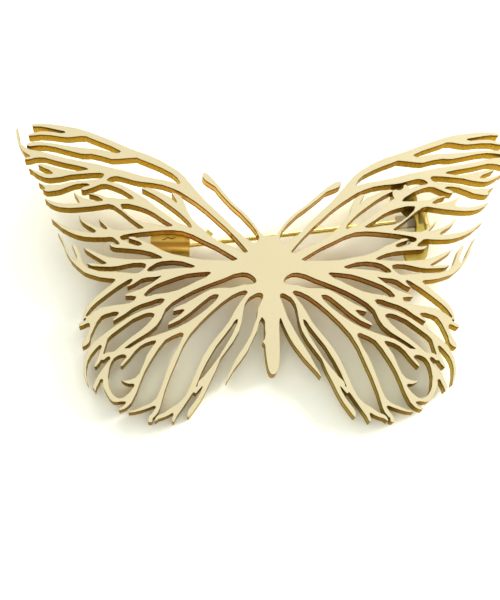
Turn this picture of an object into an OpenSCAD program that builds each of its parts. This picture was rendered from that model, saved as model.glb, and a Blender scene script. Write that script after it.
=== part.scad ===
// Butterfly brooch of pierced sheet metal. One flat plate of branching veins lies face up,
// with a rolled catch and a knuckle hinge soldered on its back and a pin stem between them.
// It rests on the catch, the hinge and the lower tips of the hindwings.

/* [Wings] */
// Distance from the centre line to the tip of a forewing
wing_reach = 28; // [20:0.5:40]
// Thickness of the metal plate
plate_t = 1.9; // [0.8:0.1:3]
// Extra width taken off each side of every gap
gap_trim = 0.02; // [0:0.01:0.1]
// Rounding of tips and slot ends
tip_round = 0.14; // [0.05:0.01:0.3]

/* [Right wing] */
// Bend of the right antenna away from its twin's mirror image, at the tip
right_antenna_bend = 4.2; // [0:0.1:8]
// Drop of the right forewing's tip, in hundredths of the reach
right_tip_drop = 1.75; // [0:0.05:4]

/* [Pin] */
// Diameter of the stem wire
stem_d = 0.55; // [0.4:0.05:1]
// Length of the stem from the hinge axis to its point
stem_l = 30; // [22:0.5:36]
// Length of the stem's sharpened end
point_l = 3; // [1:0.5:6]
// Flat across the stem's sharp end
point_d = 0.12; // [0.1:0.02:0.3]
// Slant of the stem against the line across the wings
stem_slant = 7; // [0:0.5:15]
// Length of the flat leaf that joins the stem to its knuckle
leaf_l = 2.85; // [1.5:0.1:4]
// Thickness of the leaf
leaf_t = 0.6; // [0.4:0.05:1]

/* [Catch] */
// Length of the rolled catch
catch_l = 4.3; // [2:0.1:8]
// Outside diameter of the roll
catch_d = 2.3; // [1.8:0.05:4]
// Thickness of the catch sheet
catch_t = 0.35; // [0.25:0.05:0.6]
// Angle at which the roll ends under the stem
catch_end = 235; // [190:1:238]
// Length of the flat flange that is soldered to the vein
flange_l = 1.45; // [1:0.05:3]
// Distance of the catch from the centre line
catch_x = 10.85; // [8:0.05:14]
// Height of the roll above the wings' middle
catch_y = 4.6; // [3:0.05:7]

/* [Hinge] */
// Outside diameter of the hinge knuckles
knuckle_d = 1.7; // [1.4:0.05:3]
// Length of the stem's knuckle
knuckle_mid_l = 1.4; // [0.6:0.05:2]
// Length of each knuckle on the strap
knuckle_end_l = 0.85; // [0.6:0.05:2]
// Share of an outer knuckle's length that is rounded off
knuckle_round = 0.6; // [0.2:0.05:0.9]
// Diameter of the hinge rivet
rivet_d = 0.7; // [0.5:0.05:1]
// Gap round the rivet
rivet_gap = 0.04; // [0.01:0.01:0.1]
// Gap between neighbouring knuckles
knuckle_gap = 0.06; // [0.03:0.01:0.2]
// Diameter of the rivet's heads
rivet_head_d = 1.2; // [0.9:0.05:1.6]
// Height of the rivet's domed heads
rivet_head_t = 0.3; // [0.1:0.05:0.5]
// Distance of the hinge axis from the centre line
hinge_x = 17.5; // [14:0.05:20]
// Thickness of the hinge strap
strap_t = 0.7; // [0.3:0.01:1]
// Length of the hinge strap along the hinge axis
strap_l = 9.6; // [8:0.1:12]

/* [Solder] */
// How far soldered pieces are sunk into the plate
solder_sink = 0.08; // [0.05:0.01:0.2]
// Width of the small solder tab on an inner vein
tab_w = 0.75; // [0.5:0.05:1.5]
// Length of the solder tab across the vein
tab_l = 1.7; // [1.2:0.05:2.5]
// Thickness of the solder tab
tab_t = 0.4; // [0.2:0.05:0.8]
// Distance of the solder tab's end from the centre line
tab_x = 6.4; // [5:0.05:8]
// Height of the solder tab's end above the wings' middle
tab_y = 6.1; // [5:0.05:7]
// Turn of the solder tab across the vein
tab_turn = 50; // [30:1:70]

/* [Smoothness] */
// Largest turn between two straight steps of a curved edge
curve_turn = 22; // [8:1:30]
// Turn from which a point of an outline is a corner
corner_turn = 50; // [40:1:70]

/* [Hidden] */
gold = [0.86, 0.78, 0.52];
gold_dark = [0.74, 0.62, 0.34];

// Column numbers of the outline tables. Every row is [out, up]: hundredths of wing_reach out
// from the centre line and up toward the head. The tables hold the left half. The right half
// mirrors them, with its antenna bent, its tip drooped and tables of its own for tine and tail.
out = 0;
up = 1;

// Straight steps round the rolled catch, the barrel of the hinge and the stem
roll_steps = 64;
barrel_steps = 48;
wire_steps = 32;
// Turn between two steps of a rounded shoulder, in degrees
shoulder_turn = 15;
// Share of a rivet head's height that is domed, and of the rivet's diameter left flat on it
head_dome = 0.8;
head_flat = 0.5;
// Largest share of an edge that the rounding of a corner takes, and how far it is cut in
round_share = 0.4;
corner_cut = 0.25;

// Outer edge of one half, in order from the head to the tail: the head first
head_edge = [[-0.4, 18.2], [0, 18.2], [1.5, 18.3], [3.2, 19.2]];

// Antenna, up its inner edge and down its outer one
antenna_edge = [
    [4, 20.3], [6, 23.4], [8, 25.9], [10, 28], [14, 31.6], [18, 36.5], [21, 40.4], [23, 42.6],
    [25, 44.1], [25.8, 44], [26.2, 43.3], [26.1, 42.3], [24.5, 40.5], [21.2, 38.3], [19, 35.4],
    [15, 30.9], [11, 27.2], [7, 22.8], [5, 20],
];

// Wings, from the notch at the antenna's root to the one beside the body
wing_edge = [
    // notch and leading edge of the forewing
    [3.9, 17.3], [4.6, 16.2], [5.5, 15.3], [6.2, 15.2],
    [8, 16.6], [10, 17.8], [13, 20.4], [17, 24.6], [21, 28.6], [25, 32.5], [29, 37.2], [33, 42.1],
    [35, 44.1], [37, 45.6], [42.5, 49], [47.5, 51.3], [55, 54], [62.5, 57.4], [70, 60.4], [75, 62],
    [80, 63], [85, 63.7], [90, 64], [93.6, 63.7], [93.4, 62.5], [95, 59.2], [94.8, 58.3], [95.6, 55.3],
    [95.4, 54.4],
    // long tine that curls past the other tips
    [96.6, 54.6], [97.4, 55.4], [98, 56.8], [98.6, 60.4], [98.9, 61.9], [99.6, 62], [99.7, 60.5],
    [99.5, 58], [98.3, 54.6], [96.7, 52.2], [95, 51], [94, 50.4], [94, 50.1],
    // tips down the outer edge of the forewing
    [95, 49.9], [96.1, 49.5], [96.1, 48.6], [94.5, 45.5], [94.4, 45], [90.5, 39.4], [90.3, 38.9],
    [88.9, 36.9], [88.7, 36.4], [87.9, 32.9], [87.7, 32.3], [85.2, 24.8], [84.9, 24.1],
    [82.8, 19.4], [81.5, 16.9], [80.5, 15], [79, 11], [77, 7.6], [75, 5.5], [72, 3], [70, 2.2],
    [66, 1], [62, 0.5], [60.2, 0.3], [59.9, 0], [60.2, -0.4],
    // outer edge of the hindwing
    [62, -2.1], [65, -4.6], [68, -7.2], [70, -9.3], [71.2, -11.3], [71.9, -13.4], [72.1, -15.9],
    [71.1, -15.1], [70.9, -15.5], [71.4, -16.1], [73, -16.9], [73.7, -17.4], [73.7, -18.6],
    [72, -18.1], [70.3, -17.2], [69.8, -17.2], [69.5, -17.6], [69.7, -19.5], [70.3, -21.2],
    [71.3, -23.3], [72.4, -25.3], [72.2, -26.6], [71, -30.2], [71.6, -33.5], [71.5, -37.2],
    [70.7, -39.5], [69.9, -41.3], [69.7, -41.3], [68.2, -42], [67.5, -42.8], [67, -44],
    // short slot between two lower tips
    [66.4, -42], [65.5, -40.2], [65.1, -39.2], [64.5, -38.9], [64.1, -39.4], [64.3, -40.3],
    [63.6, -43], [62.3, -45.3], [60.3, -47.7],
    // second short slot
    [59, -47.9], [57, -47.6], [55.5, -47.7], [55.4, -48.1], [56.5, -49.2], [58, -50.2], [58.3, -50.5],
    [57.8, -51], [54.5, -51.5], [54.4, -51.9], [47.1, -54.9], [47, -55.3], [46.5, -55.6],
    [45.2, -55.3], [44.6, -54.9], [44.2, -55.2], [38, -54.5], [37.9, -55.3], [37.2, -55.6],
    [32.3, -52.7], [32.2, -53.4], [31.6, -53.8],
    // inner edge of the hindwing
    [30.2, -52], [27.4, -48], [25.2, -44], [23.4, -40], [21.4, -36], [19.4, -31], [17.2, -28],
    [14.3, -24], [12.1, -20], [11.1, -16.5], [10.4, -12], [9.8, -9.5], [9, -8], [8, -6.7], [6, -5.5],
];

// Edge of the body and the slim tine beside it, to the notch of the tail
tine_edge = [
    [4, -4.9], [3, -5.3], [2.8, -6], [3.5, -8.2], [4.9, -11.3], [5.3, -14.5], [6.5, -18], [8, -22],
    [10.3, -26], [13, -30], [15.1, -34], [17, -38], [17.5, -39.9], [17.2, -40.3], [15.9, -38],
    [14.1, -35], [11.8, -32], [9, -28], [7.1, -24], [5.2, -20], [4.3, -16.5], [3.3, -14.5], [2.2, -16.5],
];
right_tine_edge = [
    [4.8, -5], [3.9, -5.5], [3.9, -6.5], [4.9, -9.1], [5.6, -11.3], [6.7, -14.6], [8.3, -17.8],
    [10.3, -21.6], [12.6, -25.4], [14.9, -29.1], [16.8, -32.9], [18.9, -36.7], [19.3, -37.9],
    [19.1, -38.3], [17.7, -36.4], [15.6, -34], [13, -31.1], [9, -25.7], [7.3, -22.8], [6.2, -20.5],
    [5, -17.8], [4.4, -16.1], [3.9, -14.9], [3.6, -15.4],
];

// Edge of the tail, with a small burr on the left
tail_edge = [
    [2.3, -19], [2.4, -23.2], [3.1, -24.1], [3, -24.7], [2.4, -25.4], [2.2, -27.5], [1.9, -30.6],
    [1.4, -34], [0.9, -35.8], [0, -37], [-0.4, -37.1],
];
right_tail_edge = [
    [3.4, -17.3], [3.5, -25], [3.4, -30], [3.3, -32.3], [2.9, -34.5], [2.4, -35.8], [1.7, -36.8],
    [0.7, -37.2], [-0.4, -37],
];

// Gaps of the forewing, from the leading edge down. Where a gap opens at the edge of the wing,
// its table starts and ends outside the outline.
fore_gaps = [
    // first slot behind the leading edge
    [[94.5, 62.6], [93.4, 62.6], [90, 62.6], [87, 62.1], [82.5, 61.1], [80.5, 60.7], [80.4, 60.2],
     [82, 60], [85, 60.5], [88, 60.8], [90, 60.8], [92, 60.3], [95, 59.2], [96.2, 58.8]],
    // second slot
    [[96.2, 58.6], [94.7, 58.6], [92, 58.9], [90, 59.2], [86, 59], [82, 58.4], [80, 58.2], [78, 58.3],
     [74, 58.8], [72, 58.7], [70, 57.8], [66, 56.2], [62, 54.6], [59, 53], [58.3, 52.6], [59, 52.1],
     [60, 51.9], [63, 52.6], [67, 53.5], [72, 53.9], [78, 54.6], [82, 55.2], [86, 55.9], [90, 56.3],
     [93, 56.3], [95.6, 55.35], [96.4, 55.2]],
    // long slot that runs to the curled tine
    [[96.1, 54.8], [95.4, 54.6], [94, 54.3], [92.5, 54.5], [91, 54.7], [88, 54.7], [84, 54], [80, 52.9],
     [76, 51.9], [74, 51.4], [72, 51.3], [70, 51.4], [66, 50.5], [62, 49.3], [59, 49.4], [55, 49.8],
     [52, 50], [50, 49.1], [46, 47.5], [42, 45.7], [38, 43.5], [36, 41.7], [34.95, 39.8], [35.3, 39.3],
     [37, 39.8], [40, 40.6], [44, 41.3], [48, 42.1], [52, 43.1], [56, 44.4], [62, 45.8], [68, 47.3],
     [72, 48.1], [78, 49.2], [84, 50.7], [90, 52.4], [94, 53.1], [96.1, 54.1]],
    // forked slot round one tine
    [[97.4, 48.3], [96, 48.7], [94, 48.9], [92, 49.5], [90, 49.7], [88, 49.6], [84, 48.4], [80, 47.4],
     [76, 46.6], [72, 45.6], [70.9, 45], [72, 44.8], [75, 44.3], [77, 44.3], [81, 45], [85, 46],
     [89, 47.1], [90.6, 47.1], [90.9, 46.6], [88, 45.2], [85.1, 43.6], [84.9, 43], [87, 43],
     [90, 43.7], [93, 44.8], [94.5, 45.5], [95.8, 46.1]],
    // slot under the forked one
    [[95.5, 45.1], [94.4, 45.05], [92, 43.3], [90, 42.1], [88, 41.3], [86, 41.1], [82, 41.6],
     [78, 42.6], [74, 43], [70, 43.4], [66.3, 43.5], [65.2, 43.2], [64.8, 42.7], [66, 41.4], [67, 41.1],
     [70, 40.6], [75, 40.2], [79, 39.4], [82, 38.5], [84, 38.4], [88, 38.5], [90.3, 39.3], [91.5, 39.8]],
    // nick between two tips
    [[91.2, 39.3], [90.2, 39], [89, 38.2], [88, 37.3], [87.8, 36.9], [87.9, 36.7], [88.8, 36.85], [90, 37]],
    // wide gap with three tines
    [[89.9, 36.5], [88.7, 36.45], [87.5, 35.7], [85, 35.8], [82, 36.3], [79, 37.6], [76, 38.7],
     [73, 39.1], [71.5, 39.1], [70.2, 38.5], [72, 38], [73.6, 37.2], [73.9, 36.7], [73, 36.3],
     [71, 36.7], [69, 37.5], [66, 38.8], [64, 38.9], [62, 38.4], [58, 36.8], [55, 34.9], [53.3, 33.4],
     [53.2, 32.9], [56, 32.9], [60, 33.1], [63.5, 33.4], [66, 34.4], [69, 35.3], [70.6, 35.2],
     [70.8, 34.8], [69, 34.4], [67, 33.7], [65.3, 32.6], [65.3, 32.1], [67, 31.9], [70, 32.3],
     [73, 33.3], [75, 34.3], [76.8, 35.8], [76, 34.4], [75, 32.8], [74.3, 31.5], [74.6, 31.1],
     [76, 30.8], [80, 30.7], [84, 31.4], [87.9, 32.85], [89.2, 33.3]],
    // long gap with two tines
    [[88.9, 32.4], [87.7, 32.35], [86, 30.8], [84, 29.8], [82, 29.2], [78, 28.9], [74, 29.2],
     [70, 29.6], [66, 30.2], [63, 30.7], [61, 30.2], [58, 28.1], [54, 24.7], [50, 21.8], [49.3, 21.3],
     [49.4, 20.9], [52, 20.7], [56, 20.3], [60, 20.3], [62, 21.2], [64, 22.7], [66, 24.6], [66.7, 25],
     [66.6, 24.4], [65, 22.7], [63.3, 20.9], [63.6, 20.4], [65, 20.8], [68, 21.8], [71, 23.3],
     [73, 24.7], [74.6, 26.3], [74.4, 25.5], [73, 23.3], [71, 21.8], [68, 20], [67.7, 19.6],
     [68.1, 19.1], [70, 19.1], [73, 19.7], [77, 20.5], [81, 22.2], [85.1, 24.75], [86.3, 25.4]],
    // closed leaf in the middle of the wing
    [[58.2, 30.6], [57.5, 30.8], [55, 30.8], [51, 29.8], [48, 28.7], [45, 27.1], [42, 24.9], [39, 23],
     [37.9, 22.2], [38.4, 21.9], [41, 22], [45, 22.8], [49, 23.2], [52, 24.3], [55, 26.5], [57.6, 29.1]],
    // large closed gap along the arm, with two tines
    [[63.6, 40.8], [62, 41.9], [59, 42.1], [56, 41.3], [53, 40.4], [50, 39.9], [46, 39.5], [42, 38.8],
     [38, 37.4], [35, 36], [32, 34], [29, 32], [25, 28.8], [21, 25.1], [17, 21.4], [13, 17.2],
     [10, 13.7], [8.7, 12], [8.6, 11.7], [9.6, 11.4], [12, 12.5], [15, 14], [19, 15.6], [22, 17.3],
     [25, 19.9], [28, 22.5], [30.5, 25.2], [32, 28], [33, 31], [34, 33.5], [36, 35.2], [38.5, 35.9],
     [38, 35], [36.5, 32.5], [36.1, 31.5], [37, 32], [39, 34], [42, 35.4], [46, 37.4], [48, 37.8],
     [50.3, 37.3], [48, 36.2], [45, 34.6], [42, 32.6], [38, 29.6], [35, 27.2], [32, 24.2],
     [30.6, 22.2], [30.5, 21.6], [30.9, 21.3], [33, 22.4], [36, 23.4], [40, 26.4], [44, 29.4],
     [48, 32.8], [52, 35.4], [56, 37.8], [59, 39.3], [62, 39.9], [63.5, 40.5]],
    // closed gap between the arm and the lower veins
    [[58.3, 17.5], [57, 18.1], [54, 18.7], [50, 19.3], [46, 19.7], [42, 20.1], [38, 20.2], [34, 19.8],
     [30, 18.4], [26, 16.3], [21, 13.9], [17, 11.5], [13, 9], [12.6, 8.7], [14, 8.1], [17, 8.3],
     [24, 8.4], [28, 8.7], [34, 9.9], [38, 10.7], [42, 12.2], [46, 14.6], [49, 15.8], [52, 17.3],
     [54, 17.6], [55.4, 17], [54, 16.5], [51, 15.5], [50, 14.8], [49.8, 14.3], [51, 13.9],
     [54, 14.7], [55.4, 15.3], [55.7, 16], [57, 16.1], [58, 16.5]],
    // branching gap over the lower edge, with four tines
    [[86, 24.6], [84.9, 24.15], [83, 22.6], [81, 20.8], [78, 19.1], [75, 17.9], [72, 17.2], [68, 17],
     [64, 17.1], [61, 17.1], [59.8, 16.1], [58.6, 14.9], [58.5, 14.4], [60, 14.3], [62.2, 14.7],
     [62.5, 14.3], [61.4, 13.3], [58, 12.8], [54, 12.5], [50, 12.1], [46, 11.2], [43, 9.9], [41.8, 9.1],
     [42.4, 8.8], [46, 8.6], [50, 8.4], [56, 8.5], [62, 9.1], [66, 10.4], [69, 11.9], [72.6, 13.2],
     [71.5, 11.9], [69, 10.2], [66, 8.4], [63.3, 6.8], [64, 6.4], [67, 6.6], [70, 6.9], [71.1, 6.5],
     [69, 5.5], [66, 5.3], [62, 5.2], [59, 5.5], [56, 6.2], [53, 6.8], [50, 6.9], [48.3, 6.5],
     [48.2, 6], [49.6, 4], [51, 3], [55, 3], [60, 3.4], [66, 3.5], [70, 4.7], [72.2, 6.6], [73, 8.5],
     [74.1, 11.6], [75.7, 14.4], [76.5, 14.8], [77.1, 14.5], [76, 11.9], [75, 9.6], [75.1, 7.8],
     [75.7, 7.8], [77.3, 10], [78.6, 13], [81, 17.5], [82.9, 19.4], [84, 20.6]],
    // closed slot above the waist of the wing
    [[47.5, 4.3], [46, 5.6], [44, 6.9], [42, 7.5], [38, 7.9], [34, 7.5], [31, 6.5], [29.2, 5.8],
     [29.5, 5.4], [32, 5.2], [38, 4.8], [42, 4.4], [46, 3.5], [47.6, 3.7]],
];

// Gaps of the hindwing, from the waist down to the body
hind_gaps = [
    // closed gap under the waist, with two tines
    [[53.2, 0], [53.7, 0.5], [55, 0], [59, -2.6], [63, -5.7], [67, -9], [69, -11], [71, -14],
     [70.8, -14.6], [68, -12.5], [65, -10.8], [60, -9.9], [55, -9.2], [52.5, -7.9], [51.7, -6.6],
     [54, -6.3], [56.1, -6.4], [56, -5.6], [54, -4.9], [50, -3.4], [46, -1.2], [44, 0.3], [42.1, 1.8],
     [44, 1.3], [48, 1], [50, 0.4], [53, -1.7], [55.2, -2.7], [55.4, -2.4], [54.5, -1.6]],
    // closed gap across the waist
    [[22.8, 3.1], [24, 3.4], [28, 3.1], [32, 2.6], [36, 1.4], [40, -0.1], [44, -1.7], [47, -3.7],
     [48.9, -5.9], [48, -6.4], [45, -5.6], [40, -4.9], [36, -3.9], [32, -2.1], [28, 0], [25, 1.3],
     [24, 2.2]],
    // long closed gap from the body, with two tines
    [[5.3, -0.5], [5.6, 0.6], [7, 2.1], [9, 3.1], [11, 3.2], [14, 2.5], [18, 0.7], [22, -0.8],
     [26, -2.4], [30, -4.2], [34, -6.4], [38, -9], [40.5, -11.5], [42.2, -15.5], [44, -18.1],
     [47, -20.7], [50, -22.6], [54, -25.3], [56.2, -27], [54, -26.8], [51, -24.8], [48, -23],
     [44, -21.7], [40, -20.3], [36, -18.7], [32, -16.6], [28, -13.9], [24, -10.7], [22, -8.8],
     [20.1, -6.2], [20, -5.7], [22, -5.7], [25, -7.7], [28, -10.2], [31, -12.9], [35, -15.8],
     [39, -17.7], [39.5, -17.8], [39.5, -16.8], [37, -15.1], [35.2, -13.9], [33.1, -11.8],
     [34, -11.6], [36, -12], [37.6, -12.4], [37.7, -11.7], [36, -10.4], [33, -9.1], [30, -7.4],
     [26, -4.9], [23, -3.4], [20, -2.8], [15, -2.8], [10, -1.5], [6.3, -1.1]],
    // outer gap, open below its tip
    [[58.3, -13.1], [59, -12.7], [62, -13.2], [65, -14.4], [66.7, -16.7], [69, -22], [69.5, -24.6],
     [70.7, -25.9], [72.2, -26.65], [73.4, -27.4], [72.4, -31], [71.05, -30.3], [70, -27.8],
     [69, -25.8], [67, -23.8], [64, -21.3], [61, -19], [58, -16.9], [55, -14.8], [52, -13.1],
     [49, -11.8], [45, -10.7], [42.5, -9.7], [40.7, -7.7], [42, -7.3], [46, -8.4], [50, -9.7],
     [53, -11.2], [56, -13.5], [60, -16], [60.6, -16.3], [60.7, -15.5], [59.2, -14.1]],
    // closed slot inside it
    [[44.7, -13.5], [46, -13], [49, -13.6], [53, -15.5], [57, -18.5], [61, -21.6], [62.5, -23.2],
     [63.5, -26.8], [64.2, -29.3], [63, -28.6], [60, -28.1], [58, -26.3], [54, -22.8], [50, -19.8],
     [47, -17], [45, -14.3]],
    // open gap with one tine
    [[64.8, -26], [65.5, -25.7], [67, -27.2], [69, -29.8], [70, -32], [70.5, -34.5], [70.4, -37],
     [69.8, -40], [69.7, -41.35], [69.4, -42.8], [68.15, -42.1], [67.5, -40.4], [66, -37.4],
     [64, -34.3], [62, -31.9], [61.4, -30.8], [62, -30.1], [63, -30.7], [64, -31.7], [64.9, -31.4],
     [65.6, -32.7], [67, -34.4], [67.8, -34], [67, -32.5], [66, -29.8], [65.2, -27.5]],
    // closed gap with two tines
    [[55.2, -30.2], [56, -29.5], [58, -29.7], [60, -30.9], [61.7, -34.5], [62.2, -38], [61.7, -42],
     [60.2, -44.9], [58, -46.4], [56, -45.8], [54, -44], [52.2, -41.4], [52.5, -40.8], [54.5, -40.8],
     [57.7, -39.1], [56, -39.5], [54, -39.2], [52, -38.4], [50.5, -36.8], [49, -33.3],
     [47.5, -29.3], [46, -27], [44.1, -24.4], [44.3, -23.9], [46, -24.2], [50, -26.1], [52, -28],
     [54, -30.7], [57, -34.1], [57.8, -33.8], [57, -32.3]],
    // open gap down the middle
    [[33.5, -21.3], [34.5, -20.7], [38, -22.2], [40.6, -23.8], [43.1, -27], [46.2, -32], [48.3, -36],
     [49.9, -40], [51.3, -44], [53.2, -48], [55, -49.9], [57.8, -51.1], [57.5, -52.4], [55, -52.6],
     [54.4, -51.5], [52, -50.7], [49, -49.4], [46, -48.1], [44, -46.3], [42.7, -43.5], [41.3, -39.5],
     [39.4, -34], [37.5, -29.5], [35.5, -26], [34, -22.5]],
    // short open slot
    [[44, -49.6], [44.5, -49.3], [46, -49.8], [49, -50.9], [52, -51.7], [54.4, -51.9], [54.6, -53.2],
     [48.6, -56], [47.1, -54.9], [46.7, -53.3], [45.5, -51.9], [44.3, -50.1]],
    // longest gap of the hindwing, with a narrow mouth
    [[8.7, -4.6], [9.6, -3.9], [12, -4.6], [15, -6.1], [19, -9.1], [23, -12.7], [27, -16.7],
     [31, -21.4], [33.8, -26.2], [36.2, -32], [38.7, -38], [40.8, -44], [42.4, -50], [43.3, -52],
     [44.5, -53.5], [45.2, -54], [45.25, -55.3], [45.2, -56.6], [44.5, -56.4], [44.5, -55],
     [44.3, -54], [43, -52.6], [41, -51.8], [38.5, -50], [36, -48.5], [33.4, -46], [31.3, -42],
     [29.7, -38], [28, -34], [26.2, -30], [23.7, -26], [21, -22.4], [18, -18.8], [16, -16],
     [14, -12.2], [12, -9], [10, -6.2]],
    // last short open slot
    [[37.4, -52.3], [37.8, -52], [39, -52.8], [41, -53.7], [43, -54.3], [44.2, -55.2], [44, -56.6],
     [39, -57], [38, -55.3], [37.9, -54]],
    // closed narrow gap beside the inner edge
    [[12.8, -15.4], [13.5, -15.8], [15, -18.1], [18, -22.1], [21, -26], [24.5, -32], [26.5, -36],
     [28.1, -40], [28.8, -41.8], [28.4, -41.7], [27.9, -39.7], [26, -37.9], [23, -34.2], [20, -30],
     [17.6, -26], [15.2, -22], [13.8, -18.8], [12.7, -15.8]],
    // open gap under the narrow one
    [[26.3, -41.6], [27, -42.3], [29, -44.7], [29.7, -43.9], [30.5, -45], [32.5, -48], [34.5, -51],
     [36, -53.1], [37.2, -55.65], [37.3, -57], [33, -56.5], [32.25, -53.4], [32.2, -51.7],
     [30.5, -49], [28.5, -46.3], [27, -43.5]],
];

// Solder that closes the right wing's large gap over the hinge
right_bridge = [
    [49.3, 35.7], [49.4, 37], [50.6, 37.9], [51.4, 37.6], [52.4, 37.6], [53.7, 38.6], [53.9, 39.7],
    [54.9, 40], [55.9, 38.8], [56.4, 37.6], [55, 35.6], [52, 33.6], [50.4, 33.2],
];

// Edge of the hinge strap, round its lower end, the side of the hinge, its upper end and the
// notch of the leaf. Columns: hundredths of strap_l away from the stem and toward the head.
strap_edge = [
    [-24.2, -55], [-9.2, -56.2], [-3.3, -47.9], [-0.8, -40.8], [2.1, -31.2], [0.8, -20], [-3.3, -16.7],
    [-5.8, -12.5], [-6.2, 0], [-5, 10], [-3.8, 20], [-4.2, 27.5], [-9.2, 30.8], [-11.7, 35],
    [-12.5, 41.7], [-18.3, 43.3], [-28.3, 42.5], [-31.7, 38.3], [-30.8, 31.7], [-29.6, 25.8], [-25, 20],
    [-24.2, 10.4], [-18.3, 3.3], [-10, 0.8], [-9.2, -8.3], [-10.4, -16.7], [-16.7, -26.7],
    [-27.1, -35.4], [-29.6, -45.8],
];

// Curves through the points of a closed outline, with corners kept where it turns sharply
function unit(v) = v / norm(v);
function turn_between(u, v) = acos(max(-1, min(1, u * v)));
function before(path, i) = path[(i + len(path) - 1) % len(path)];
function after(path, i) = path[(i + 1) % len(path)];
function step_in(path, i) = path[i] - before(path, i);
function step_out(path, i) = after(path, i) - path[i];
function is_corner(path, i) = turn_between(unit(step_in(path, i)), unit(step_out(path, i))) > corner_turn;
// direction at a point of the circle through it and its neighbours
function heading(path, i) =
    let (a = step_in(path, i), b = step_out(path, i))
    unit(unit(a) * norm(b) + unit(b) * norm(a));
function mirrored(v, along) = 2 * (v * along) * along - v;
function round_at(path, i) =
    min(tip_round, round_share * norm(step_in(path, i)), round_share * norm(step_out(path, i)));
function blend(p, q, u, v, t) =
    let (l = norm(q - p))
    (2 * pow(t, 3) - 3 * pow(t, 2) + 1) * p + (pow(t, 3) - 2 * pow(t, 2) + t) * l * u
    + (3 * pow(t, 2) - 2 * pow(t, 3)) * q + (pow(t, 3) - pow(t, 2)) * l * v;
// points from point i up to the next one, which adds itself
function stretch(path, i) =
    let (j = (i + 1) % len(path),
         chord = unit(path[j] - path[i]),
         cut_i = is_corner(path, i),
         cut_j = is_corner(path, j),
         u = !cut_i ? heading(path, i) : cut_j ? chord : mirrored(heading(path, j), chord),
         v = !cut_j ? heading(path, j) : cut_i ? chord : mirrored(heading(path, i), chord),
         p = cut_i ? path[i] + chord * round_at(path, i) : path[i],
         q = cut_j ? path[j] - chord * round_at(path, j) : path[j],
         steps = max(1, ceil((turn_between(u, chord) + turn_between(chord, v)) / curve_turn)))
    concat(cut_i ? [corner_middle(path, i)] : [],
           [for (k = [0 : steps - 1]) blend(p, q, u, v, k / steps)],
           cut_j ? [q] : []);
function corner_middle(path, i) =
    path[i] + (unit(step_out(path, i)) - unit(step_in(path, i))) * round_at(path, i) * corner_cut;
function smooth(path) = [for (i = [0 : len(path) - 1]) each stretch(path, i)];
function scaled(table, size) = [for (row = table) [row[out], row[up]] * size / 100];
function sized(table) = scaled(table, wing_reach);

// How the right half departs from the left one's mirror image, in hundredths of wing_reach: the
// antenna bends sideways from its root over its span, and the wing droops beyond a point
antenna_root = [5, 19];
antenna_span = 32;
antenna_side = [0.68, -0.73];
droop_from = [45, 42];
droop_rise = 15;
droop_run = 50;
function share(x) = max(0, min(1, x));
function bent(row) =
    row + right_antenna_bend * pow(norm(row - antenna_root) / antenna_span, 2) * antenna_side;
function drooped(row) =
    row - [0, right_tip_drop * share((row[out] - droop_from[0]) / droop_run)
              * share((row[up] - droop_from[1]) / droop_rise)];
left_edge = concat(head_edge, antenna_edge, wing_edge, tine_edge, tail_edge);
right_edge = concat(
    head_edge,
    [for (row = antenna_edge) bent(row)],
    [for (row = wing_edge) drooped(row)],
    right_tine_edge,
    right_tail_edge
);
gaps = concat(fore_gaps, hind_gaps);

// Reach of the wings toward the head and the tail
wing_top = max([for (row = left_edge) row[up]]) * wing_reach / 100;
wing_foot = min([for (row = left_edge) row[up]]) * wing_reach / 100;

// Depths of the roll's middle and of the hinge axis below the front face
catch_depth = plate_t - solder_sink + catch_d / 2;
hinge_depth = plate_t - solder_sink + strap_t + knuckle_d / 2;
// Place of the hinge on the line of the stem, which passes the catch's middle
hinge_y = catch_y + (hinge_x + catch_x) * tan(stem_slant);
stem_run = (hinge_x + catch_x) / cos(stem_slant);
stem_rise = atan((hinge_depth - catch_depth) / stem_run);
// Along the hinge axis, from its middle to the start and to the end of an outer knuckle
knuckle_start = knuckle_mid_l / 2 + knuckle_gap;
barrel_half = knuckle_start + knuckle_end_l;

// Lean of the plate, from the tips of the hindwings to the lip of the catch
lip_y = catch_y + catch_d / 2 * cos(catch_end);
lip_depth = catch_depth - catch_d / 2 * sin(catch_end);
lean = atan2(lip_depth - plate_t, lip_y - wing_foot);
lift = plate_t * cos(lean) - wing_foot * sin(lean);
// Shift that puts the middle of the brooch over the origin
shift_y = -(wing_foot * cos(lean) + wing_top * cos(lean) + plate_t * sin(lean)) / 2;

// From the frame of the plate, front face up, to the frame of the resting brooch
module resting() {
    translate([0, shift_y, lift]) rotate([lean, 0, 0]) children();
}

// Flat shape of one half, with its gaps cut out
module half(edge, cuts) {
    difference() {
        polygon(smooth(sized(edge)));
        for (gap = cuts) polygon(smooth(sized(gap)));
    }
}

// Flat shape of both wings, the body and the antennae
module wings() {
    offset(delta = -gap_trim) {
        mirror([1, 0]) half(left_edge, gaps);
        half(right_edge, [for (gap = gaps) [for (row = gap) drooped(row)]]);
        polygon(smooth(sized(right_bridge)));
    }
}

// Pierced plate
module wing_plate() {
    translate([0, 0, -plate_t]) linear_extrude(plate_t) wings();
}

// Rolled sheet that holds the point of the stem, open toward the head, with its flange
module catch() {
    translate([-catch_x - catch_l / 2, catch_y, -catch_depth]) {
        rotate([90, 0, 90])
            rotate([0, 0, 90])
                rotate_extrude(angle = catch_end - 90, $fn = roll_steps)
                    translate([catch_d / 2 - catch_t, 0]) square([catch_t, catch_l]);
        translate([0, 0, catch_d / 2 - catch_t]) cube([catch_l, flange_l, catch_t]);
    }
}

// Places its children on the hinge axis, with the stem running toward -X
module on_hinge() {
    translate([hinge_x, hinge_y, -hinge_depth]) rotate([0, 0, stem_slant]) children();
}

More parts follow.
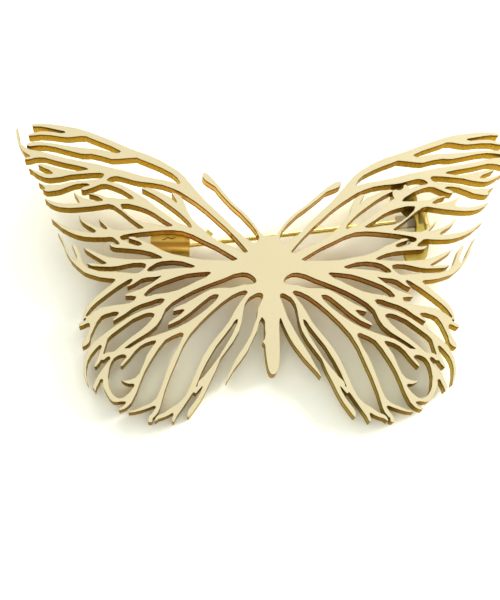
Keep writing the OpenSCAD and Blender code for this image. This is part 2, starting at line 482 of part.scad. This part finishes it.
// Cylinder along the hinge axis, centred at a distance from the hinge's middle
module along_axis(d, l, middle = 0) {
    translate([0, middle, 0]) rotate([90, 0, 0]) cylinder(d = d, h = l, center = true, $fn = barrel_steps);
}

// Solid of revolution round the hinge axis that ends in an elliptical shoulder. It starts at
// a distance from the middle, on the head's side for side = 1 and the tail's for side = -1.
module shoulder(d, d_end, l, round_l, from, side) {
    mirror([0, side < 0 ? 1 : 0, 0])
        translate([0, from, 0])
            rotate([-90, 0, 0])
                rotate_extrude($fn = barrel_steps)
                    polygon(concat(
                        [[0, 0], [d / 2, 0]],
                        [for (a = [0 : shoulder_turn : 90])
                            [d_end / 2 + (d - d_end) / 2 * cos(a), l - round_l + round_l * sin(a)]],
                        [[0, l]]
                    ));
}

// Strap with the two fixed knuckles
module hinge_strap() {
    on_hinge()
        difference() {
            union() {
                translate([0, 0, knuckle_d / 2])
                    linear_extrude(strap_t) polygon(smooth(scaled(strap_edge, strap_l)));
                for (side = [-1, 1]) {
                    shoulder(knuckle_d, rivet_head_d, knuckle_end_l, knuckle_end_l * knuckle_round,
                             knuckle_start, side);
                    translate([-knuckle_d / 2, min(side * knuckle_start, side * barrel_half), 0])
                        cube([knuckle_d / 2, knuckle_end_l, knuckle_d / 2 + strap_t / 2]);
                }
            }
            along_axis(rivet_d + 2 * rivet_gap, 2 * barrel_half + rivet_head_t);
        }
}

// Small solder tab that shows beside an inner vein
module solder_tab() {
    translate([-tab_x, tab_y, -plate_t - tab_t])
        rotate([0, 0, tab_turn])
            translate([-tab_l, -tab_w / 2, 0]) cube([tab_l, tab_w, tab_t + solder_sink]);
}

// Plate with everything that is soldered to it
module butterfly() {
    color(gold)
        resting() {
            wing_plate();
            catch();
            hinge_strap();
            solder_tab();
        }
}

// Stem with its leaf, its knuckle and its sharpened end
module pin_stem() {
    color(gold)
        resting()
            on_hinge()
                difference() {
                    union() {
                        along_axis(knuckle_d - 2 * knuckle_gap, knuckle_mid_l);
                        translate([-leaf_l, -knuckle_mid_l / 2, -leaf_t / 2])
                            cube([leaf_l, knuckle_mid_l, leaf_t]);
                        rotate([0, -90 + stem_rise, 0]) {
                            cylinder(d = stem_d, h = stem_l - point_l, $fn = wire_steps);
                            translate([0, 0, stem_l - point_l])
                                cylinder(d1 = stem_d, d2 = point_d, h = point_l, $fn = wire_steps);
                        }
                    }
                    along_axis(rivet_d + 2 * rivet_gap, 2 * knuckle_mid_l);
                }
}

// Rivet through the three knuckles, with a domed head on each end
module hinge_rivet() {
    color(gold_dark)
        resting()
            on_hinge() {
                along_axis(rivet_d, 2 * (barrel_half + rivet_gap) + rivet_head_t);
                for (side = [-1, 1])
                    shoulder(rivet_head_d, rivet_d * head_flat, rivet_head_t, rivet_head_t * head_dome,
                             barrel_half + rivet_gap, side);
            }
}

butterfly();
pin_stem();
hinge_rivet();
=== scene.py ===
import math
from collections import namedtuple

import bmesh
import bpy
from mathutils import Matrix, Vector


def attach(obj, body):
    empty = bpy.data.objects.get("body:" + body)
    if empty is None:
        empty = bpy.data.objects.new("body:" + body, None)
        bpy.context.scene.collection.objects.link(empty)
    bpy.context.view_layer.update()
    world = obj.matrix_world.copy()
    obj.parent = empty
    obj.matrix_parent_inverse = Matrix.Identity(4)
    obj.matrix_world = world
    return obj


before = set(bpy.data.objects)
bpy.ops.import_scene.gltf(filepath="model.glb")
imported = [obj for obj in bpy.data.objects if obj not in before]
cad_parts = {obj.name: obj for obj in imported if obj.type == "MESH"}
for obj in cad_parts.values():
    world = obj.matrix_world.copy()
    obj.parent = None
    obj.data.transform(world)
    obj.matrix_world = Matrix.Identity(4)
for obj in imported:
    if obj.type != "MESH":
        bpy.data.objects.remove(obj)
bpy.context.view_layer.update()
MM = 0.001

# How the plate rests: its lean, and the place of its front face's middle
LEAN = math.radians(5.88846)
SHIFT_Y = -1.26726 * MM
LIFT = 3.48713 * MM
PLATE = Matrix.Translation((0, SHIFT_Y, LIFT)) @ Matrix.Rotation(LEAN, 4, "X")
PLATE_T = 1.9

# Camera in the plate's frame, millimetres and degrees. The sensor spans the picture's height
CAMERA_PLACE = (-11.93, -40.32, 151.43)
CAMERA_TILT = -14.1106
CAMERA_YAW = -3.6747
CAMERA_ROLL = -0.6677
FOCAL_PX = 1443.2
PHOTO_HEIGHT = 600
SENSOR = 36
NEAREST_SEEN = 10 * MM


def place_camera():
    data = bpy.data.cameras.new("camera")
    data.sensor_width = SENSOR
    data.lens = FOCAL_PX * SENSOR / PHOTO_HEIGHT
    data.clip_start = NEAREST_SEEN
    camera = bpy.data.objects.new("camera", data)
    turn = (
        Matrix.Rotation(math.radians(CAMERA_ROLL), 3, "Z")
        @ Matrix.Rotation(math.radians(CAMERA_TILT), 3, "X")
        @ Matrix.Rotation(math.radians(CAMERA_YAW), 3, "Y")
    )
    flip = Matrix.Diagonal((1, -1, -1))
    rows = flip @ turn @ flip
    local = rows.transposed().to_4x4()
    local.translation = Vector(CAMERA_PLACE) * MM
    camera.matrix_world = PLATE @ local
    bpy.context.scene.collection.objects.link(camera)
    bpy.context.scene.camera = camera


# What the node helpers pass on: a place on the object, a noise's settings, a Mix node's sockets
Here = namedtuple("Here", "vector x y z facing")
Grain = namedtuple("Grain", "scale detail roughness")
MixSockets = namedtuple("MixSockets", "first second result")
MIX_SOCKETS = {"FLOAT": MixSockets(2, 3, 0), "RGBA": MixSockets(6, 7, 2)}


def new_material(name):
    material = bpy.data.materials.new(name)
    material.use_nodes = True
    tree = material.node_tree
    shader = tree.nodes["Principled BSDF"]
    return material, tree, shader


def new_metal(name):
    material, tree, shader = new_material(name)
    shader.inputs["Metallic"].default_value = 1.0
    return material, tree, shader


def node(tree, kind, **settings):
    made = tree.nodes.new(kind)
    for key, value in settings.items():
        setattr(made, key, value)
    return made


def feed(tree, socket, value):
    if isinstance(value, bpy.types.NodeSocket):
        tree.links.new(value, socket)
    elif isinstance(value, tuple) and socket.type == "RGBA":
        socket.default_value = (*value, 1)
    else:
        socket.default_value = value


def math_node(tree, operation, a, b=0.0):
    made = node(tree, "ShaderNodeMath", operation=operation)
    feed(tree, made.inputs[0], a)
    feed(tree, made.inputs[1], b)
    return made.outputs[0]


def product(tree, first, *others):
    for other in others:
        first = math_node(tree, "MULTIPLY", first, other)
    return first


def fade(tree, value, span, levels=(0.0, 1.0)):
    """Smooth step from the first level to the second as the value crosses the span."""
    made = node(tree, "ShaderNodeMapRange", interpolation_type="SMOOTHSTEP")
    for socket, number in zip(made.inputs, (value, *span, *levels)):
        feed(tree, socket, number)
    return made.outputs[0]


def mixed(tree, share, a, b, kind="RGBA", blend="MIX"):
    made = node(tree, "ShaderNodeMix", data_type=kind, blend_type=blend)
    sockets = MIX_SOCKETS[kind]
    feed(tree, made.inputs[0], share)
    feed(tree, made.inputs[sockets.first], a)
    feed(tree, made.inputs[sockets.second], b)
    return made.outputs[sockets.result]


def shaded(tree, colour, value):
    """A colour times a number."""
    grey = node(tree, "ShaderNodeCombineColor")
    for socket in grey.inputs:
        feed(tree, socket, value)
    return mixed(tree, 1.0, colour, grey.outputs[0], blend="MULTIPLY")


def plate_space(tree):
    """Place on the object in the plate's frame, in millimetres, and how squarely it faces front."""
    coords = node(tree, "ShaderNodeTexCoord")
    mapping = node(tree, "ShaderNodeMapping", vector_type="TEXTURE")
    mapping.inputs["Location"].default_value = (0, SHIFT_Y, LIFT)
    mapping.inputs["Rotation"].default_value = (LEAN, 0, 0)
    mapping.inputs["Scale"].default_value = (MM, MM, MM)
    tree.links.new(coords.outputs["Object"], mapping.inputs["Vector"])
    facing = node(tree, "ShaderNodeVectorMath", operation="DOT_PRODUCT")
    tree.links.new(coords.outputs["Normal"], facing.inputs[0])
    facing.inputs[1].default_value = (0, -math.sin(LEAN), math.cos(LEAN))
    parts = node(tree, "ShaderNodeSeparateXYZ")
    tree.links.new(mapping.outputs[0], parts.inputs[0])
    return Here(mapping.outputs[0], *parts.outputs, facing.outputs["Value"])


def sideways(tree):
    """How far a wall faces left or right across the wings, 0 to 1."""
    coords = node(tree, "ShaderNodeTexCoord")
    parts = node(tree, "ShaderNodeSeparateXYZ")
    tree.links.new(coords.outputs["Normal"], parts.inputs[0])
    return math_node(tree, "ABSOLUTE", parts.outputs[0])


def stretched(tree, vector, scale):
    made = node(tree, "ShaderNodeMapping", vector_type="POINT")
    made.inputs["Scale"].default_value = scale
    tree.links.new(vector, made.inputs["Vector"])
    return made.outputs[0]


def noise(tree, vector, grain):
    made = node(tree, "ShaderNodeTexNoise")
    tree.links.new(vector, made.inputs["Vector"])
    made.inputs["Scale"].default_value = grain.scale
    made.inputs["Detail"].default_value = grain.detail
    made.inputs["Roughness"].default_value = grain.roughness
    return made.outputs["Fac"]


def bump(tree, shader, height, depth, strength):
    made = node(tree, "ShaderNodeBump")
    made.inputs["Strength"].default_value = strength
    made.inputs["Distance"].default_value = depth
    tree.links.new(height, made.inputs["Height"])
    tree.links.new(made.outputs[0], shader.inputs["Normal"])


# Colours, linear
FACE = (0.80, 0.70, 0.445)
FACE_DEEP = (0.765, 0.66, 0.41)
# painted shade: the dark line along the face's rounded edges
FACE_EDGE_PAINTED_SHADE = (0.43, 0.36, 0.15)
BACK = (0.84, 0.66, 0.22)
# painted shade: the dark line along the walls' top under the face, near the body and far out
WALL_TOP_PAINTED_SHADE = (0.055, 0.02, 0.004)
WALL_TOP_FAR_PAINTED_SHADE = (0.13, 0.075, 0.015)
WALL_FAR = (0.40, 0.25, 0.08)
WALL_NEAR = (0.90, 0.50, 0.25)
# painted shade: the walls' foot, dark near the body and barely darker far out
WALL_FOOT_FAR_PAINTED_SHADE = (0.38, 0.27, 0.09)
WALL_FOOT_PAINTED_SHADE = (0.11, 0.05, 0.008)
# painted reflection: the paler colour of walls turned to the side
WALL_SIDE_PAINTED_REFLECTION = (0.66, 0.61, 0.20)
FITTING = (0.80, 0.66, 0.17)
FITTING_DEEP = (0.67, 0.50, 0.093)
# painted shade on the catch's bend
BEND_PAINTED_SHADE = (0.44, 0.21, 0.032)
# painted shade: the dark strap's upper half, behind the vein
STRAP_PAINTED_SHADE = (0.07, 0.042, 0.012)
PIN = (0.88, 0.70, 0.30)
# painted reflection: the leaf's pale colour
LEAF_PAINTED_REFLECTION = (1.0, 0.97, 0.82)
EDGE_TINT = (0.64, 0.50, 0.28)
SOLDER = (0.34, 0.2, 0.06)
SOLDER_DEEP = (0.10, 0.05, 0.012)
PAPER = (0.95, 0.945, 0.83)
STUDIO = (0.985, 1.0, 0.975)

# Grains of the noises, in cells for each millimetre, and the floor's in cells for each metre
BROAD_GRAIN = Grain(scale=0.18, detail=2.0, roughness=0.55)
FINE_GRAIN = Grain(scale=7.0, detail=4.0, roughness=0.7)
LINE_GRAIN = Grain(scale=1.0, detail=3.0, roughness=0.6)
FITTING_GRAIN = Grain(scale=0.9, detail=3.0, roughness=0.55)
PATCH_GRAIN = Grain(scale=1.2, detail=3.0, roughness=0.55)
SOLDER_GRAIN = Grain(scale=5.0, detail=4.0, roughness=0.6)
PAPER_GRAIN = Grain(scale=900.0, detail=3.0, roughness=0.55)

# Scales that draw a grain out into lines: down the sawn walls, and along the wire
SAW_STRETCH = (6, 6, 0.35)
DRAWN_STRETCH = (0.5, 14, 14)

# Spans of a noise's or a mark's own value
WHOLE = (0.0, 1.0)
ALL_TONES = (0.2, 0.8)
SAW_TONES = (0.25, 0.75)
FITTING_TONES = (0.3, 0.7)
PATCH_TONES = (0.35, 0.7)
SOLDER_TONES = (0.35, 0.65)
ROUGH_TONES = (0.2, 0.9)

# Spans of place, millimetres in the plate's frame: where a change begins and where it is done
UNDER_Z = (-PLATE_T - 0.02, -PLATE_T - 0.05)
SUNK_Z = (-0.5, -1.0)
WALL_RADIUS = (8.0, 19.0)
TOP_LINE_Z = (-0.25, -0.6)
FOOT_LINE_Z = (-1.3, -1.6)
BEND_X = (-8.0, -8.5)
BEND_HEAD_Y = (5.05, 4.7)
BEND_TAIL_Y = (4.1, 4.4)
STRAP_SHADE_LEFT_X = (12.0, 13.0)
STRAP_SHADE_RIGHT_X = (16.7, 16.4)
STRAP_SHADE_Y = (7.9, 8.3)
STRAP_SHADE_THIN_Y = (9.7, 10.5)
KNUCKLE_X = (15.9, 16.2)
KNUCKLE_Z = (-2.4, -2.55)
LEAF_X = (13.0, 14.0)
LEAF_Z = (-2.8, -3.0)
TURNED_X = (15.7, 16.1)

# Spans of direction: 1 faces front, 0 is a wall, and -1 faces back
FLAT_FACING = (0.6, 0.9)
SUNK_FACING = (0.4, 0.6)
BACK_FACING = (0.0, -0.5)
LEAF_FACING = (0.985, 0.998)

# Span of a wall's turn to the side: 0 faces head or tail, and 1 faces the tip of a wing
SIDEWAYS = (0.5, 0.95)

# Strengths at the two ends of a span, and the rim's all over
FACE_SHADE = (0.97, 1.02)
WALL_SHADE = (0.92, 1.06)
KNUCKLE_SHADE = (1.0, 0.52)
TURNED_SHADE = (1.0, 0.5)
DRAWN_SHADE = (0.88, 1.05)
PAPER_SHADE = (0.985, 1.0)
SIDE_SHARE = (0.0, 0.85)
STRAP_SHADE_SHARE = (0.85, 0.2)
RIM_SHARE = 0.8

# Roughness
FACE_ROUGH = (0.33, 0.45)
WALL_ROUGH = (0.22, 0.42)
PIN_ROUGH = (0.16, 0.42)
LEAF_ROUGH = 0.8
SOLDER_ROUGH = (0.3, 0.55)
PAPER_ROUGH = 0.6

# Relief of the grains
PLATE_RELIEF = 0.01 * MM
PLATE_BUMP = 0.25
FINE_RELIEF_SHARE = 0.6
SAW_RELIEF_SHARE = 0.4
PIN_RELIEF = 0.008 * MM
PIN_BUMP = 0.4
SOLDER_RELIEF = 0.02 * MM
SOLDER_BUMP = 0.8

# The rounding that finds an edge, and how well its normal agrees with the true one there
EDGE_RADIUS = 0.09 * MM
EDGE_SAMPLES = 6
EDGE_CLOSENESS = (0.999, 0.85)


def edges(tree):
    """Closeness to an edge, 0 to 1: there the rounded normal leaves the true one."""
    rounded = node(tree, "ShaderNodeBevel", samples=EDGE_SAMPLES)
    rounded.inputs["Radius"].default_value = EDGE_RADIUS
    geometry = node(tree, "ShaderNodeNewGeometry")
    closeness = node(tree, "ShaderNodeVectorMath", operation="DOT_PRODUCT")
    tree.links.new(rounded.outputs[0], closeness.inputs[0])
    tree.links.new(geometry.outputs["Normal"], closeness.inputs[1])
    return fade(tree, closeness.outputs["Value"], EDGE_CLOSENESS)


def face_colour(tree, here, fine):
    """Satin front, darkened by painted shade along its rounded edges, and the plainer back."""
    broad = noise(tree, here.vector, BROAD_GRAIN)
    face = mixed(tree, broad, FACE_DEEP, FACE)
    face = shaded(tree, face, fade(tree, fine, ALL_TONES, FACE_SHADE))
    # painted shade darkens the face near its edges
    face = mixed(tree, product(tree, edges(tree), RIM_SHARE), face, FACE_EDGE_PAINTED_SHADE)
    return mixed(tree, fade(tree, here.facing, BACK_FACING), face, BACK)


def wall_colour(tree, here, saw):
    """Sawn walls: redder near the body, with painted shade as a dark line under the face and a dark
    foot, and a paler painted reflection on walls turned to the side.
    """
    radius = node(tree, "ShaderNodeVectorMath", operation="LENGTH")
    tree.links.new(stretched(tree, here.vector, (1, 1, 0)), radius.inputs[0])
    outward = fade(tree, radius.outputs["Value"], WALL_RADIUS)
    wall = mixed(tree, outward, WALL_NEAR, WALL_FAR)
    # painted reflection: walls turned to the side are painted paler, as at a grazing angle they
    # catch the floor's light
    wall = mixed(tree, fade(tree, sideways(tree), SIDEWAYS, SIDE_SHARE), wall, WALL_SIDE_PAINTED_REFLECTION)
    # painted shade along the walls' top and foot
    painted_top_shade = mixed(tree, outward, WALL_TOP_PAINTED_SHADE, WALL_TOP_FAR_PAINTED_SHADE)
    painted_foot_shade = mixed(tree, outward, WALL_FOOT_PAINTED_SHADE, WALL_FOOT_FAR_PAINTED_SHADE)
    wall = mixed(tree, fade(tree, here.z, TOP_LINE_Z), painted_top_shade, wall)
    wall = mixed(tree, fade(tree, here.z, FOOT_LINE_Z), wall, painted_foot_shade)
    return shaded(tree, wall, fade(tree, saw, SAW_TONES, WALL_SHADE))


def bend_painted_shade(tree, here):
    """Painted shade: the catch darkens where its sheet bends down."""
    head_side = fade(tree, here.y, BEND_HEAD_Y)
    tail_side = fade(tree, here.y, BEND_TAIL_Y)
    return product(tree, head_side, tail_side, fade(tree, here.x, BEND_X))


def strap_painted_shade(tree, here):
    """Painted shade on the strap's upper half under the plate, thinner toward the head."""
    start = fade(tree, here.y, STRAP_SHADE_Y)
    right = fade(tree, here.x, STRAP_SHADE_RIGHT_X)
    left = fade(tree, here.x, STRAP_SHADE_LEFT_X)
    return product(tree, start, right, left, fade(tree, here.y, STRAP_SHADE_THIN_Y, STRAP_SHADE_SHARE))


def fitting_colour(tree, here):
    """Catch and hinge strap, with painted shade on the catch's bend, the strap's upper half and the
    round knuckles.
    """
    patches = fade(tree, noise(tree, here.vector, FITTING_GRAIN), FITTING_TONES)
    fitting = mixed(tree, patches, FITTING_DEEP, FITTING)
    # painted shade on the catch's bend
    fitting = mixed(tree, bend_painted_shade(tree, here), fitting, BEND_PAINTED_SHADE)
    # painted shade on the strap's upper half under the plate
    fitting = mixed(tree, strap_painted_shade(tree, here), fitting, STRAP_PAINTED_SHADE)
    # painted shade darkens the round knuckles
    knuckles = product(tree, fade(tree, here.z, KNUCKLE_Z), fade(tree, here.x, KNUCKLE_X))
    return shaded(tree, fitting, fade(tree, knuckles, WHOLE, KNUCKLE_SHADE))


def plate_gold():
    """Satin face, polished sawn walls, and the brighter metal of the fittings on the back."""
    material, tree, shader = new_metal("satin_gold")
    shader.inputs["Specular Tint"].default_value = (*EDGE_TINT, 1)
    here = plate_space(tree)
    fine = noise(tree, here.vector, FINE_GRAIN)
    saw = noise(tree, stretched(tree, here.vector, SAW_STRETCH), LINE_GRAIN)

    # the fittings lie under the plate, or face front below its face
    flat = fade(tree, math_node(tree, "ABSOLUTE", here.facing), FLAT_FACING)
    under = fade(tree, here.z, UNDER_Z)
    sunk = product(tree, fade(tree, here.facing, SUNK_FACING), fade(tree, here.z, SUNK_Z))
    below = math_node(tree, "MAXIMUM", under, sunk)

    colour = mixed(tree, flat, wall_colour(tree, here, saw), face_colour(tree, here, fine))
    colour = mixed(tree, below, colour, fitting_colour(tree, here))
    tree.links.new(colour, shader.inputs["Base Color"])

    face_share = product(tree, flat, math_node(tree, "SUBTRACT", 1.0, below))
    face_rough = fade(tree, fine, ALL_TONES, FACE_ROUGH)
    wall_rough = fade(tree, math_node(tree, "MAXIMUM", saw, below), ROUGH_TONES, WALL_ROUGH)
    rough = mixed(tree, face_share, wall_rough, face_rough, kind="FLOAT")
    tree.links.new(rough, shader.inputs["Roughness"])

    fine_relief = product(tree, fine, FINE_RELIEF_SHARE)
    saw_relief = product(tree, saw, SAW_RELIEF_SHARE)
    relief = math_node(tree, "ADD", fine_relief, saw_relief)
    bump(tree, shader, relief, PLATE_RELIEF, PLATE_BUMP)
    return material


def pin_gold():
    """Drawn wire, turned knuckle darkened by painted shade, and the flat leaf between them, whose
    pale, matte colour is a painted reflection.
    """
    material, tree, shader = new_metal("polished_gold")
    shader.inputs["Specular Tint"].default_value = (*EDGE_TINT, 1)
    here = plate_space(tree)
    drawn = noise(tree, stretched(tree, here.vector, DRAWN_STRETCH), LINE_GRAIN)
    patches = fade(tree, noise(tree, here.vector, PATCH_GRAIN), PATCH_TONES)
    leaf_front = fade(tree, here.facing, LEAF_FACING)
    leaf = product(tree, leaf_front, fade(tree, here.x, LEAF_X), fade(tree, here.z, LEAF_Z))
    turned = fade(tree, here.x, TURNED_X)

    # the leaf is painted pale as a painted reflection of the bright studio
    colour = mixed(tree, leaf, mixed(tree, patches, FITTING, PIN), LEAF_PAINTED_REFLECTION)
    # painted shade darkens the turned knuckle
    colour = shaded(tree, colour, fade(tree, turned, WHOLE, TURNED_SHADE))
    colour = shaded(tree, colour, fade(tree, drawn, ALL_TONES, DRAWN_SHADE))
    tree.links.new(colour, shader.inputs["Base Color"])

    # the leaf is not metal, so its painted pale colour shows in the shade
    tree.links.new(math_node(tree, "SUBTRACT", 1.0, leaf), shader.inputs["Metallic"])
    rough = fade(tree, math_node(tree, "MAXIMUM", drawn, turned), ROUGH_TONES, PIN_ROUGH)
    rough = math_node(tree, "MAXIMUM", rough, product(tree, leaf, LEAF_ROUGH))
    tree.links.new(rough, shader.inputs["Roughness"])
    bump(tree, shader, drawn, PIN_RELIEF, PIN_BUMP)
    return material


def solder_dark():
    """Sooty bead of solder."""
    material, tree, shader = new_metal("solder")
    grain = noise(tree, plate_space(tree).vector, SOLDER_GRAIN)
    colour = mixed(tree, fade(tree, grain, SOLDER_TONES), SOLDER_DEEP, SOLDER)
    tree.links.new(colour, shader.inputs["Base Color"])
    tree.links.new(fade(tree, grain, ALL_TONES, SOLDER_ROUGH), shader.inputs["Roughness"])
    bump(tree, shader, grain, SOLDER_RELIEF, SOLDER_BUMP)
    return material


def paper_floor():
    material, tree, shader = new_material("pale_floor")
    coords = node(tree, "ShaderNodeTexCoord")
    grain = noise(tree, coords.outputs["Object"], PAPER_GRAIN)
    colour = shaded(tree, PAPER, fade(tree, grain, ALL_TONES, PAPER_SHADE))
    tree.links.new(colour, shader.inputs["Base Color"])
    shader.inputs["Roughness"].default_value = PAPER_ROUGH
    return material


def dress(name, material):
    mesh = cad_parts[name].data
    mesh.materials.clear()
    mesh.materials.append(material)


# Solder seam on the catch's flange: its middle line, millimetres in the plate's frame
SEAM = [
    (-11.75, 5.08),
    (-11.53, 5.13),
    (-11.31, 5.25),
    (-11.09, 5.36),
    (-10.87, 5.27),
    (-10.65, 5.22),
    (-10.43, 5.34),
    (-10.21, 5.36),
]
SEAM_Z = -1.82
SEAM_STEPS = 4

# The seam's bead: its radius, how it thins at the ends, and how it swells along its rings
SEAM_R = 0.075
SEAM_SIDES = 10
SEAM_END_SHARE = 0.35
SEAM_BLUNTNESS = 0.5
SEAM_SWELL = 0.18
SEAM_SWELL_TURN = 2.3


def seam_path():
    """Middle line of the seam, each stretch cut into equal steps."""
    corners = [Vector((x, y, SEAM_Z)) for x, y in SEAM]
    path = []
    for start, end in zip(corners, corners[1:]):
        path += [start.lerp(end, step / SEAM_STEPS) for step in range(SEAM_STEPS)]
    path.append(corners[-1])
    return path


def seam_radius(ring, last_ring):
    share = ring / last_ring
    taper = math.sin(math.pi * share) ** SEAM_BLUNTNESS
    swell = 1 + SEAM_SWELL * math.sin(SEAM_SWELL_TURN * ring)
    return SEAM_R * (SEAM_END_SHARE + (1 - SEAM_END_SHARE) * taper) * swell


def seam_ring(mesh, middle, radius):
    ring = []
    for side in range(SEAM_SIDES):
        angle = 2 * math.pi * side / SEAM_SIDES
        offset = Vector((0, math.cos(angle), math.sin(angle))) * radius
        ring.append(mesh.verts.new(PLATE @ ((middle + offset) * MM)))
    return ring


def add_seam(material):
    """Wavy bead of solder: a closed tube along the seam."""
    path = seam_path()
    mesh = bmesh.new()
    rings = [seam_ring(mesh, middle, seam_radius(i, len(path) - 1)) for i, middle in enumerate(path)]
    for first, second in zip(rings, rings[1:]):
        for k in range(SEAM_SIDES):
            j = (k + 1) % SEAM_SIDES
            mesh.faces.new((first[k], first[j], second[j], second[k]))
    mesh.faces.new(rings[0][::-1])
    mesh.faces.new(rings[-1])
    bmesh.ops.recalc_face_normals(mesh, faces=mesh.faces)
    data = bpy.data.meshes.new("solder_seam")
    mesh.to_mesh(data)
    mesh.free()
    for face in data.polygons:
        face.use_smooth = True
    data.materials.append(material)
    seam = bpy.data.objects.new("solder_seam", data)
    bpy.context.scene.collection.objects.link(seam)
    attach(seam, "brooch")


# Studio: metres, watts, and lamps that all point at the origin
FLOOR_SIDE = 1.2
STUDIO_STRENGTH = 0.92
Lamp = namedtuple("Lamp", "name place width height power")
LAMPS = [
    Lamp("key", (0.42, 0.20, 0.20), 0.22, 0.18, 3.6),
    Lamp("low", (0.55, 0.08, 0.12), 0.26, 0.14, 1.8),
    Lamp("back", (-0.05, 0.5, 0.15), 0.5, 0.2, 3.3),
    Lamp("front", (-0.15, -0.42, 0.45), 0.3, 0.3, 0.6),
]


def add_floor():
    half = FLOOR_SIDE / 2
    corners = [(-half, -half, 0), (half, -half, 0), (half, half, 0), (-half, half, 0)]
    mesh = bpy.data.meshes.new("floor")
    mesh.from_pydata(corners, [], [(0, 1, 2, 3)])
    floor = bpy.data.objects.new("floor", mesh)
    bpy.context.scene.collection.objects.link(floor)
    mesh.materials.append(paper_floor())


def add_lamp(lamp):
    data = bpy.data.lights.new(lamp.name, "AREA")
    data.shape = "RECTANGLE"
    data.size = lamp.width
    data.size_y = lamp.height
    data.energy = lamp.power
    light = bpy.data.objects.new(lamp.name, data)
    light.location = lamp.place
    light.rotation_euler = (-Vector(lamp.place)).to_track_quat("-Z", "Y").to_euler()
    bpy.context.scene.collection.objects.link(light)


def add_light():
    world = bpy.data.worlds.new("studio")
    bpy.context.scene.world = world
    world.use_nodes = True
    background = world.node_tree.nodes["Background"]
    background.inputs["Color"].default_value = (*STUDIO, 1)
    background.inputs["Strength"].default_value = STUDIO_STRENGTH
    bpy.context.scene.view_settings.view_transform = "Standard"
    for lamp in LAMPS:
        add_lamp(lamp)


def main():
    place_camera()
    dress("butterfly", plate_gold())
    pin = pin_gold()
    dress("pin_stem", pin)
    dress("hinge_rivet", pin)
    add_seam(solder_dark())
    add_floor()
    add_light()


main()
